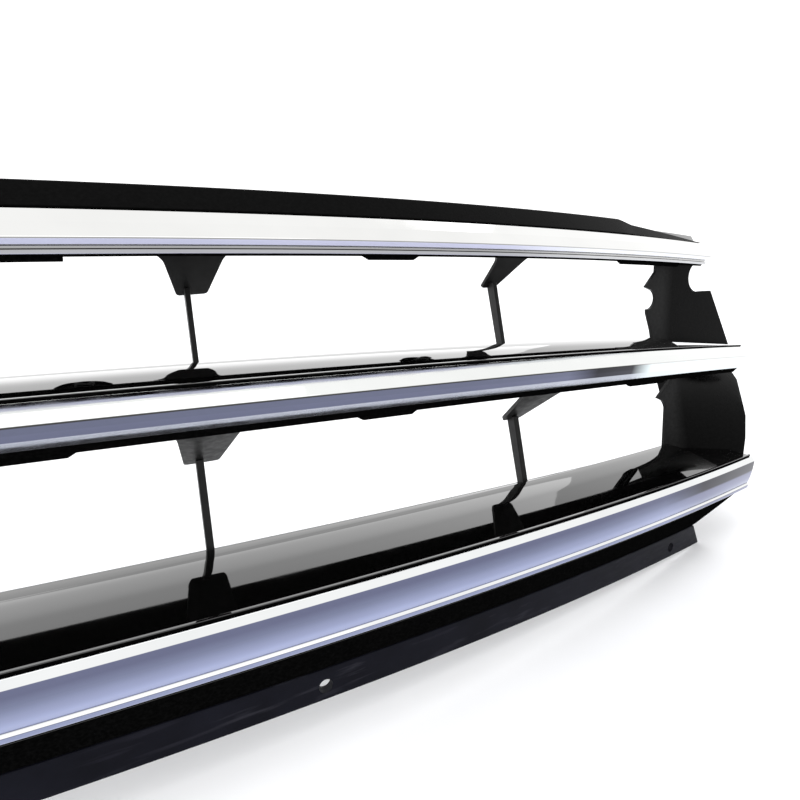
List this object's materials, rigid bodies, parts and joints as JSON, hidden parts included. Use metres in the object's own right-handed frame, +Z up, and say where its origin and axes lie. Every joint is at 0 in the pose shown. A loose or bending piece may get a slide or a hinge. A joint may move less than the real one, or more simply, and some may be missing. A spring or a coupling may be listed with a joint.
{
  "type": "front grille",
  "caption": "Swept black front grille with bright horizontal mouldings over open air cells, struts and end panels, and push retainers along its top edge.",
  "frame": {"origin": "centre of the middle fixing hole, on the upper face of its tab, at the top rear edge of the grille", "axes": "+X to the right across the car as seen from the front, +Y rearwards into the car, +Z up along the fixing hole"},
  "size_m": [1.1516, 0.1904, 0.2052],
  "materials": {
    "trim_gloss_black": "moulded gloss black with faint swirl marks",
    "carrier_gloss_black": "moulded gloss black",
    "satin_black": "satin black moulding",
    "flange_satin": "satin black with fine scuffs",
    "bright_plating": "bright plating on plastic",
    "zinc_steel": "zinc plated",
    "emblem_black": "gloss black",
    "seal_rubber": "soft foam rubber",
    "pad_foam": "closed-cell foam",
    "nylon_black": "moulded nylon"
  },
  "bodies": {
    "grille": {"upper_trim": "trim_gloss_black", "edge_seal": "seal_rubber", "top_rail": "carrier_gloss_black", "middle_louvre": "carrier_gloss_black", "lower_louvre": "carrier_gloss_black", "lower_flange": "flange_satin", "end_panel_left": "carrier_gloss_black", "end_panel_right": "carrier_gloss_black", "strut_upper_left_inner": "satin_black", "strut_upper_left_outer": "satin_black", "strut_upper_right_inner": "satin_black", "strut_upper_right_outer": "satin_black", "strut_lower_left_inner": "satin_black", "strut_lower_left_outer": "satin_black", "strut_lower_right_inner": "satin_black", "strut_lower_right_outer": "satin_black", "top_moulding": "bright_plating", "middle_moulding": "bright_plating", "lower_moulding": "bright_plating", "moulding_screws": "zinc_steel", "flange_screws": "zinc_steel", "emblem_bracket": "satin_black", "emblem_base": "emblem_black", "emblem_disc": "bright_plating", "emblem_nuts": "zinc_steel", "foam_pads": "pad_foam", "retainer_bodies": "nylon_black"},
    "pin_left_outer": {"retainer_pin_left_outer": "nylon_black"},
    "pin_left_inner": {"retainer_pin_left_inner": "nylon_black"},
    "pin_right_inner": {"retainer_pin_right_inner": "nylon_black"},
    "pin_right_outer": {"retainer_pin_right_outer": "nylon_black"}
  },
  "joints": [
    {"name": "pin_left_outer_slide", "type": "slide", "parent": "grille", "child": "pin_left_outer", "axis": [0, 0, 1], "range_m": [0, 0.006]},
    {"name": "pin_left_inner_slide", "type": "slide", "parent": "grille", "child": "pin_left_inner", "axis": [0, 0, 1], "range_m": [0, 0.006]},
    {"name": "pin_right_inner_slide", "type": "slide", "parent": "grille", "child": "pin_right_inner", "axis": [0, 0, 1], "range_m": [0, 0.006]},
    {"name": "pin_right_outer_slide", "type": "slide", "parent": "grille", "child": "pin_right_outer", "axis": [0, 0, 1], "range_m": [0, 0.006]}
  ]
}
